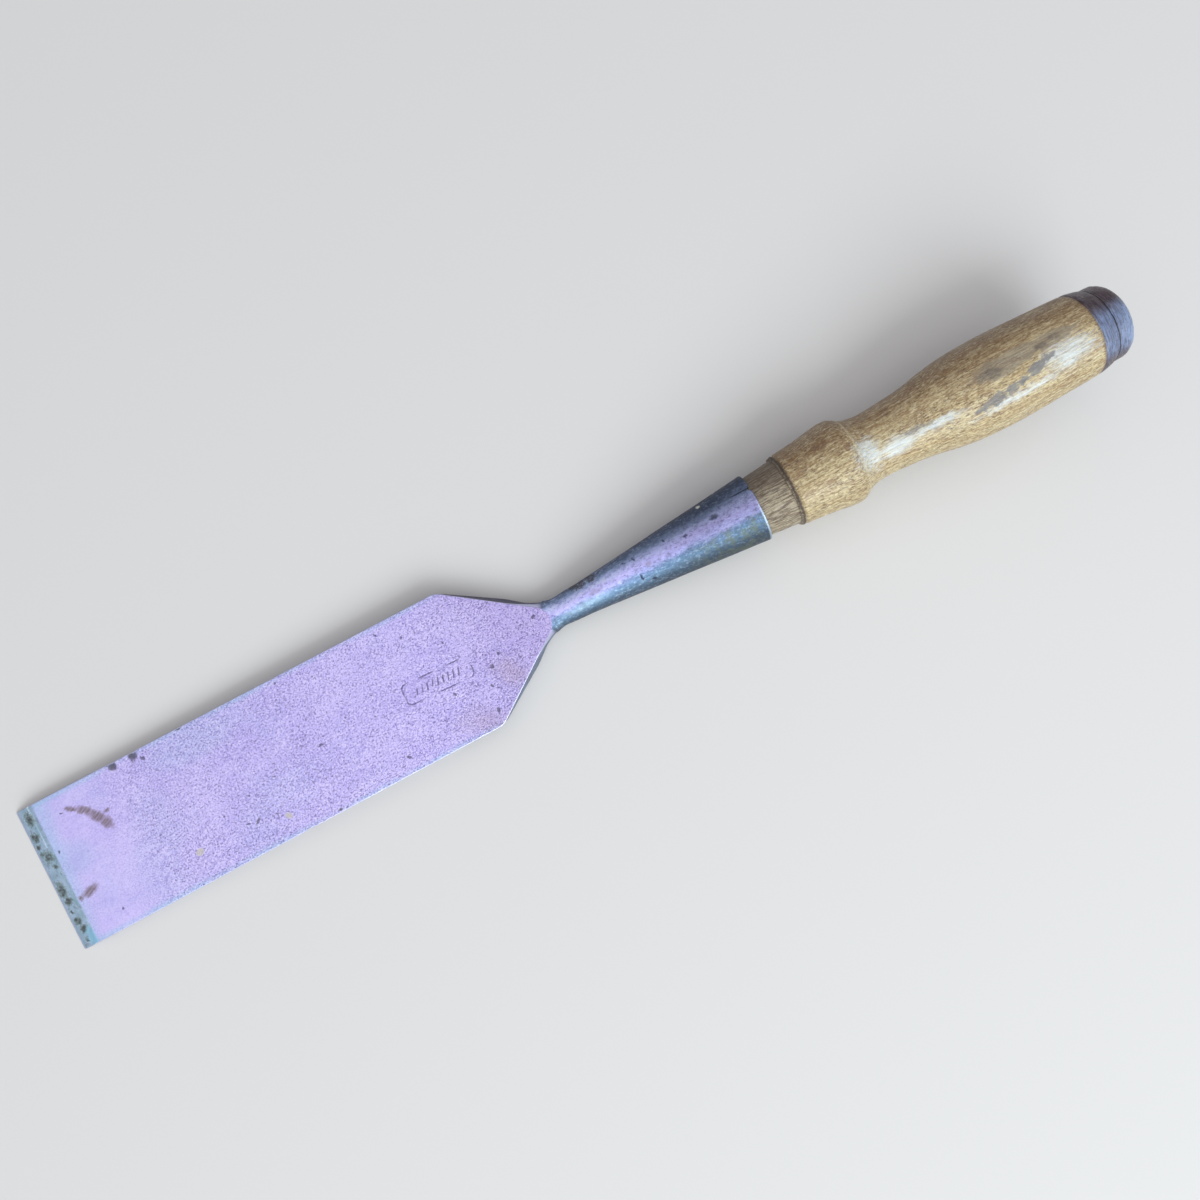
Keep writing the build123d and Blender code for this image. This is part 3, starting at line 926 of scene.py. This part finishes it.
COLUMNS = face_columns()
ARC_POINTS, WALL_POINTS, FOOT_POINTS = 5, 5, 3
SIDE_POINTS = ARC_POINTS + WALL_POINTS + FOOT_POINTS
BACK_POINTS = 30
ARRIS = 0.3
ROUND_TOP, ROUND_LOW = radians(70), radians(150)


def plate_section(x, bulge):
    """(forward, y, z) around the blade at a station: face, one side, back, other side."""
    top_half, low_half = upper_half(x), lower_half(x)
    foot = mix(0.25, 1.2, ramp(BLADE_LENGTH, NOSE_X, x))
    back = back_height(x)
    face = []
    for u in COLUMNS:
        y = u * (top_half - ARRIS)
        forward = bulge * (1 - u * u)
        high = top_height(x + forward, y) - STAMP_DEPTH * stamp_groove(x + forward, y)
        face.append((forward, y, max(high, back + 0.02)))
    side = []
    for across, down in quarter_turn(ARC_POINTS):
        y = top_half - ARRIS + ARRIS * across
        crown = top_height(x, y) - ARRIS * down
        side.append((y, max(crown, back + 0.02)))
    start_y, start_z = side[-1]
    shelf = min(back + foot, start_z - 0.01)
    for i in range(1, WALL_POINTS + 1):
        part = i / WALL_POINTS
        side.append((mix(start_y, low_half, part), mix(start_z, shelf, part)))
    for down, inwards in quarter_turn(FOOT_POINTS):
        side.append((low_half - foot * inwards, shelf - (shelf - back) * down))
    right = [(0, -y, z) for y, z in side]
    left = [(0, y, z) for y, z in reversed(side)]
    last = side[-1][0]
    under = [(0, -last * (1 - 2 * (i + 0.5) / BACK_POINTS), back) for i in range(BACK_POINTS)]
    return face + right + under + left


def round_angles():
    """Angles about a round section for the same points as plate_section gives."""
    top = [ROUND_TOP * u for u in COLUMNS]
    right = [-mix(ROUND_TOP, ROUND_LOW, (i + 1) / (SIDE_POINTS + 1)) for i in range(SIDE_POINTS)]
    low_span = 2 * (pi - ROUND_LOW)
    under = [-(ROUND_LOW + low_span * (i + 0.5) / BACK_POINTS) for i in range(BACK_POINTS)]
    left = [-angle for angle in reversed(right)]
    return top + right + under + left


ANGLES = round_angles()


def blade_ring(station):
    """One ring of the forging, from the edge's strip to the start of the socket's cone."""
    bulge = NOSE_REACH * (ramp(BULGE_START_X, NOSE_X, station) - ramp(NOSE_X, CONE_START_X, station))
    plate = plate_section(station, bulge)
    round_top = ramp(NOSE_X, NOSE_X + 2.2, station)
    round_side = ramp(BULGE_START_X + 4, NOSE_X + 3, station)
    tilt = CANT * ramp(NOSE_X + 1, CONE_START_X, station)
    neck_start = NOSE_X + NOSE_REACH
    reach = min(max((station + bulge - neck_start) / (CONE_START_X - neck_start), 0), 1)
    cone_centre_z = mouth.z - SOCKET_LENGTH * PULL.z
    nose_top = face_height(min(station + bulge, neck_start))
    top_z = mix(nose_top, cone_centre_z + CONE_TIP_RADIUS, reach)
    low_z = mix(0.03, cone_centre_z - CONE_TIP_RADIUS, ramp(NOSE_X + 4, CONE_START_X, station))
    half_high, middle_z = (top_z - low_z) / 2, (top_z + low_z) / 2
    half_wide = mix(lower_half(station), CONE_TIP_RADIUS, ramp(NECK_X - 1, CONE_START_X, station))
    ring = []
    for j, (forward, y, z) in enumerate(plate):
        angle = ANGLES[j]
        part = round_top
        if j >= len(COLUMNS):
            down = (abs(angle) - ROUND_TOP) / (pi - ROUND_TOP)
            part = mix(round_top, round_side, min(1, down * 3))
        high = half_high * cos(angle)
        round_y = half_wide * sin(angle)
        edge = min(abs(y) / side_half(station), 1) ** 24
        side = 1 if y > 0 else -1
        y -= side * nick_depth(station, side) * edge
        point_y = mix(y, round_y, part)
        x = station + forward - part * high * sin(tilt) + lean_at(station) * point_y
        ring.append((x, point_y, mix(z, middle_z + high * cos(tilt), part)))
    return ring


def forging_rings():
    """Rings of the blade, neck and socket, over the rim and down the bore."""
    stations = steps(MEET_X, STRIP_LENGTH - 0.1, 0.25) + steps(STRIP_LENGTH - 0.1, 9, 0.3)
    stations += steps(9, 15, 0.6) + steps(15, 131, 1.3) + steps(131, 158, 0.2)
    stations += steps(158, 182, 0.7) + steps(182, NOSE_X, 0.3) + steps(NOSE_X, NOSE_X + 3.2, 0.25)
    stations += steps(NOSE_X + 3.2, CONE_START_X, 0.6)
    rings = [blade_ring(station) for station in stations]
    for along in steps(-SOCKET_LENGTH, -8, 1) + steps(-8, -RIM, 0.4):
        radius = MOUTH_RADIUS + along * CONE_SLOPE
        rings.append(socket_ring(along, radius))
    for out, inwards in quarter_turn(4, start=0):
        rings.append(socket_ring(-RIM * (1 - out), MOUTH_RADIUS - RIM * inwards))
    bore = MOUTH_RADIUS - SOCKET_WALL
    for inwards, back in quarter_turn(3, start=0):
        rings.append(socket_ring(-MOUTH_ROUNDING * back, bore + MOUTH_ROUNDING * (1 - inwards)))
    for along in steps(-1, -BORE_DEPTH, 3) + [-BORE_DEPTH]:
        rings.append(socket_ring(along, bore + along * CONE_SLOPE))
    rings.append(socket_ring(-BORE_DEPTH - 1, (bore - BORE_DEPTH * CONE_SLOPE) * 0.5))
    return rings


RIM = 0.34
SEAM_ANGLE = radians(33)


def socket_ring(along, radius):
    """A ring of the socket; its wall is slightly uneven and its mouth worn, with the weld seam open."""
    outside = radius > MOUTH_RADIUS + along * CONE_SLOPE - SOCKET_WALL / 2
    near_mouth = ramp(-7, 0, along)
    ring = []
    for angle in ANGLES:
        uneven = 0
        if outside:
            fade = ramp(-SOCKET_LENGTH, -SOCKET_LENGTH + 8, along)
            uneven = 0.07 * (ripple(along / 2, cos(angle) * 9, sin(angle) * 9, 9, 4) - 0.6) * fade
        seam = exp(-((angle - SEAM_ANGLE) / 0.07) ** 2)
        worn = 0.1 * (1 + ripple(cos(angle) * 4, sin(angle) * 4, 0, 1.6, 5))
        back = near_mouth * (0.9 * seam + worn)
        ring.append(tuple(turned(along - back, radius + uneven, angle)))
    return ring


def section_masks(rings):
    """Where the blade's polished arris, which also carries a painted highlight, and its sides and back
    are, ending at the nose.
    """
    arris_part = [1.0] * (ARC_POINTS - 1) + [0.4] + [0.0] * (SIDE_POINTS - ARC_POINTS)
    side_part = [0.0] * (ARC_POINTS - 2) + [0.5] + [1.0] * (SIDE_POINTS - ARC_POINTS + 1)
    flat = [0.0] * len(COLUMNS)
    arris_ring = flat + arris_part + [0.0] * BACK_POINTS + arris_part[::-1]
    side_ring = flat + side_part + [1.0] * BACK_POINTS + side_part[::-1]
    arris, side = [], []
    for ring in rings:
        for point, arris_here, side_here in zip(ring, arris_ring, side_ring):
            on_blade = ramp(NOSE_X + 2.0, NOSE_X - 1.0, point[0])
            arris.append(arris_here * on_blade)
            side.append(side_here * on_blade)
    return arris, side


def make_blade_forging(material):
    rings = forging_rings()
    stamp = [stamp_groove(x, y) if z > HEEL_HEIGHT else 0.0 for ring in rings for x, y, z in ring]
    side_masks = section_masks(rings)
    masks = {"stamp": stamp, "arris": side_masks[0], "side": side_masks[1]}
    add_piece("blade_forging", rings, material, "blade", "blade_body", masks=masks)


def make_steel_facing(material):
    """The thin steel under the iron, from the cutting edge to its scarfed end."""
    columns = [1 - 2 * i / 110 for i in range(111)]
    stations = steps(0, HONE_WIDTH, 0.2) + steps(HONE_WIDTH, MEET_X, 0.25) + [MEET_X]
    stations += steps(MEET_X + 0.4, 12, 0.8) + steps(12, STEEL_END - 0.1, 2.5) + [STEEL_END - 0.1]
    rings = []
    for station in stations:
        half = side_half(station) - 0.02
        top, low = [], []
        for u in columns:
            y = u * half
            x = station + lean_at(station) * y
            chip = 0.22 * ramp(0.35, 0.75, ripple(y, 0, 0, 1.3, 6)) + 0.05 * ripple(y, 3, 0, 0.5, 7)
            x += max(chip, 0) * ramp(0.9, 0, station)
            high = back_height(station)
            if station < MEET_X:
                high = min(strip_height(station + EDGE_SLOPE * y, y), high)
            top.append((x, y, max(high, 0.03)))
            low.append((x, y, 0))
        rings.append(top + low[::-1])
    add_piece("steel_edge_facing", rings, material, "blade", "steel_facing")


# ---- turned pieces
AROUND = 150
TENON_DEPTH = 58
TENON_RADIUS = MOUTH_RADIUS - SOCKET_WALL - 0.09     # with a hair of room in the bore
TENON_CHAMFER = 0.8
STEP_RADIUS = 12.55
STEP_AT = 10.9
GROOVE_AT = 11.6
RIDGE_AT = 35.2
WASHER_SPLIT = 125.3
HOLE_RADIUS = PEG_RADIUS + 0.04

handle_radius = curve_through([
    (STEP_AT, 12.5), (12, 12.85), (16.9, 13.3), (21, 13.75), (24.8, 14.25), (28.5, 14.85), (31.2, 15.08),
    (33, 14.95), (34.8, 14.05), (36.3, 13.1), (38.5, 12.2), (40.7, 11.8), (43.6, 11.5), (47.5, 11.62),
    (52, 11.95), (57, 12.4), (62.5, 13.2), (68.4, 14.4), (74.3, 15.25), (79, 15.7), (88, 15.95),
    (97, 15.72), (107, 15.25), (CAP_START - 0.6, 14.62), (CAP_START, 14.42),
])

# Dents in the grip and bulb: distance along, angle from the top, size and depth
DENTS = [
    (17, 0.9, 1.6, 0.16), (24, -0.3, 1.2, 0.14), (28.5, 0.35, 1.9, 0.22), (30.5, -0.8, 1.3, 0.2),
    (55, 0.3, 2.2, 0.14), (63, -0.5, 1.5, 0.12), (72, -0.1, 1.3, 0.14), (79, 0.6, 2.6, 0.2),
    (86, -0.45, 2, 0.18), (92, 0.15, 2.8, 0.2), (99, 0.25, 2, 0.16), (106, -0.35, 1.7, 0.18),
    (113, 0.55, 1.6, 0.2), (90, 2.6, 3, 0.25), (66, 3.4, 2.2, 0.2), (104, -1.9, 2.4, 0.22),
]


def ring_of(along, radius_at, shift_at=None):
    """A ring of a turned piece; its radius and its shift along the axis may vary by angle."""
    ring = []
    for j in range(AROUND):
        angle = 2 * pi * j / AROUND
        shift = shift_at(angle) if shift_at else 0
        radius = radius_at(angle) if callable(radius_at) else radius_at
        ring.append(tuple(turned(along + shift, radius, angle)))
    return ring


def handle_surface(along, angle):
    """Radius of the handle outside the socket, with its wear."""
    radius = handle_radius(along)
    ragged = 0.5 * ripple(cos(angle) * 7, sin(angle) * 7, 0, 2.2, 8)
    radius -= 0.34 * exp(-((along - GROOVE_AT - 0.7 - ragged) / 0.28) ** 2)
    radius += 0.1 * exp(-((along - RIDGE_AT) / 0.4) ** 2)
    radius -= 0.09 * (1 + cos(2 * (angle - 0.7))) * ramp(45, 60, along)
    side_x, side_y = cos(angle) * radius, sin(angle) * radius
    radius -= 0.035 * (1 + ripple(along / 9, side_x, side_y, 1, 9))
    radius -= 0.05 * (1 + ripple(along / 3, side_x, side_y, 5, 10))
    for place, turn, size, depth in DENTS:
        if abs(along - place) < 3 * size:
            away = (angle - turn + pi) % (2 * pi) - pi
            spread = ((along - place) / size) ** 2 + (away * radius / size) ** 2
            radius -= depth * exp(-spread)
    return radius


def tenon_surface(along, angle):
    """Radius of the bare tenon between socket and bulb, dried and grooved along the grain."""
    radius = TENON_RADIUS + along * CONE_SLOPE
    furrow = ripple(along / 14, cos(angle) * 11, sin(angle) * 11, 0.9, 11)
    bare = ramp(0.1, 1.2, along)
    return radius - (0.16 * max(furrow, 0) + 0.03 * abs(furrow)) * bare


def make_handle(material):
    tip = TENON_RADIUS - TENON_DEPTH * CONE_SLOPE
    rings = [ring_of(-TENON_DEPTH, tip - TENON_CHAMFER)]
    for along in steps(-TENON_DEPTH + TENON_CHAMFER, 0, 3):
        rings.append(ring_of(along, TENON_RADIUS + along * CONE_SLOPE))
    for along in steps(0, STEP_AT - 0.1, 0.4) + [STEP_AT - 0.1]:
        rings.append(ring_of(along, lambda angle: tenon_surface(along, angle)))

    def torn(angle):
        return 0.35 * ripple(cos(angle) * 8, sin(angle) * 8, 0, 1.5, 12)

    for ahead, inset in ((-0.05, 0.55), (0, 0.25), (0.25, 0)):
        rings.append(ring_of(STEP_AT + ahead, STEP_RADIUS - inset, torn))
    body = steps(STEP_AT + 0.7, 16, 0.15) + steps(16, 33, 0.55) + steps(33, 40, 0.25)
    body += steps(40, CAP_START - 0.6, 0.6) + steps(CAP_START - 0.6, CAP_START, 0.2) + [CAP_START]
    for along in body:
        rings.append(ring_of(along, lambda angle: handle_surface(along, angle)))
    for along, radius in ((CAP_START, 9), (CAP_START, HOLE_RADIUS), (PEG_START - 0.8, HOLE_RADIUS)):
        rings.append(ring_of(along, radius))
    add_piece("wooden_handle", rings, material, "handle", "handle")


def leather_surface(along, angle, radius, seed):
    """The rim of a washer, bulged unevenly by the mallet and split into fine layers."""
    around = ripple(cos(angle) * 12, sin(angle) * 12, 0, 4, seed)
    layer = ripple(along, cos(angle) * 2, sin(angle) * 2, 0.55, seed + 1)
    crack = max(ripple(along / 3, cos(angle) * 14, sin(angle) * 14, 1.1, seed + 2) - 0.25, 0)
    return radius - 0.12 * (1 + around) - 0.1 * max(layer, 0) - 0.4 * crack


def make_washer(name, node, profile, material, seed):
    """A washer: its near face, its rim, then its far face, closed through the peg's hole."""
    first, last = profile[0][0], profile[-1][0]
    radius_at = curve_through(profile)
    near_radius, far_radius = profile[0][1], profile[-1][1]
    rings = []
    for radius in steps(HOLE_RADIUS, near_radius - 0.6, 0.9):
        rings.append(ring_of(first, radius))
    for along in steps(first, last, 0.14) + [last]:
        rings.append(ring_of(along, lambda angle: leather_surface(along, angle, radius_at(along), seed)))
    for radius in steps(far_radius - 0.8, HOLE_RADIUS, 0.5) + [HOLE_RADIUS]:
        inset = ramp(HOLE_RADIUS, HOLE_RADIUS + 0.8, radius) if last > WASHER_SPLIT + 1 else 0

        def dished(angle):
            hollow = 0.09 * (1 + ripple(cos(angle) * radius, sin(angle) * radius, 0, 2.4, seed + 3))
            return -hollow * inset

        rings.append(ring_of(last, radius, dished))
    add_piece(name, rings, material, "handle", node, hollow=True)


def make_peg(material):
    profile = [
        (PEG_START, PEG_RADIUS - 0.6),
        (PEG_START + 0.6, PEG_RADIUS),
        (CAP_END - 0.5, PEG_RADIUS),
        (CAP_END - 0.2, PEG_RADIUS - 0.12),
        (CAP_END - 0.06, PEG_RADIUS - 0.5),
    ]
    rings = [ring_of(along, radius) for along, radius in profile]
    for radius in steps(PEG_RADIUS - 0.9, 0.3, 0.4):
        def bruised(angle):
            return -0.05 * (1 + ripple(cos(angle) * radius, sin(angle) * radius, 0, 1.2, 20))
        rings.append(ring_of(CAP_END, radius, bruised))
    add_piece("cap_peg", rings, material, "handle", "centre_peg")


# ---- stage
def make_world():
    """A soft room: bright overhead and towards -Y, dim towards +Y."""
    world = bpy.data.worlds.new("studio")
    world.use_nodes = True
    tree = world.node_tree
    direction = tree.nodes.new("ShaderNodeTexCoord").outputs["Generated"]
    towards = tree.nodes.new("ShaderNodeVectorMath")
    towards.operation = "DOT_PRODUCT"
    towards.inputs[1].default_value = (-0.1, -0.4, 0.9)
    tree.links.new(direction, towards.inputs[0])
    sky = tree.nodes.new("ShaderNodeValToRGB")
    sky.color_ramp.elements[0].color = (0.15, 0.15, 0.18, 1)
    sky.color_ramp.elements[1].position = 0.8
    sky.color_ramp.elements[1].color = (1, 0.99, 1, 1)
    sky.color_ramp.elements.new(0.25).color = (0.56, 0.58, 0.63, 1)
    tree.links.new(towards.outputs["Value"], sky.inputs["Fac"])
    background = tree.nodes["Background"]
    tree.links.new(sky.outputs["Color"], background.inputs["Color"])
    background.inputs["Strength"].default_value = 1
    bpy.context.scene.world = world


def make_stage():
    """Floor, soft room and a window-like light from -Y."""
    reach, drop = 3, -0.0002
    mesh = bpy.data.meshes.new("floor")
    floor_corners = [(x * reach, y * reach, drop) for x, y in ((-1, -1), (1, -1), (1, 1), (-1, 1))]
    mesh.from_pydata(floor_corners, [], [(0, 1, 2, 3)])
    mesh.materials.append(floor_paper())
    add_object("floor", mesh)
    make_world()
    window = bpy.data.lights.new("window", "AREA")
    window.shape = "RECTANGLE"
    window.size, window.size_y = 1.3, 0.8
    window.energy = 13
    window.color = (0.9, 0.98, 1)
    lamp = add_object("window", window)
    lamp.location = (0.4, -1, 0.85)
    middle = Vector((0.22, 0, 0))
    lamp.rotation_euler = (middle - lamp.location).to_track_quat("-Z", "Y").to_euler()
    bpy.context.scene.view_settings.view_transform = "Standard"


def make_camera():
    """Looking almost straight down, turned so that the tool runs up to the right."""
    tilt, turn = radians(3.5), radians(27.95)
    place = Vector((186.88, -3, 312.29)) * MM
    look = Vector((sin(tilt), 0, -cos(tilt)))
    level = Vector((cos(tilt), 0, sin(tilt)))
    right = level * cos(turn) - ACROSS * sin(turn)
    up = level * sin(turn) + ACROSS * cos(turn)
    camera = bpy.data.cameras.new("camera")
    camera.sensor_width = 36
    camera.lens = 27.03
    camera.clip_start = 0.01
    view = add_object("camera", camera)
    axes = Matrix((right, up, -look)).transposed()
    view.matrix_world = Matrix.Translation(place) @ axes.to_4x4()
    bpy.context.scene.camera = view


INNER_PROFILE = [
    (CAP_START, 14.3),
    (CAP_START + 0.5, 14.48),
    (123, 13.95),
    (WASHER_SPLIT - 0.5, 13.42),
    (WASHER_SPLIT - 0.03, 13.1),
]
OUTER_PROFILE = [
    (WASHER_SPLIT, 12.8),
    (WASHER_SPLIT + 0.4, 13.08),
    (128.9, 12.98),
    (130.2, 12.5),
    (131.2, 11.7),
    (131.9, 10.7),
    (CAP_END, 9.7),
]

make_camera()
make_stage()
make_blade_forging(face_iron())
make_steel_facing(edge_steel())
make_handle(handle_wood())
leather = cap_leather()
make_washer("inner_cap_washer", "leather_washer_inner", INNER_PROFILE, leather, 30)
make_washer("outer_cap_washer", "leather_washer_outer", OUTER_PROFILE, leather, 40)
make_peg(peg_wood())
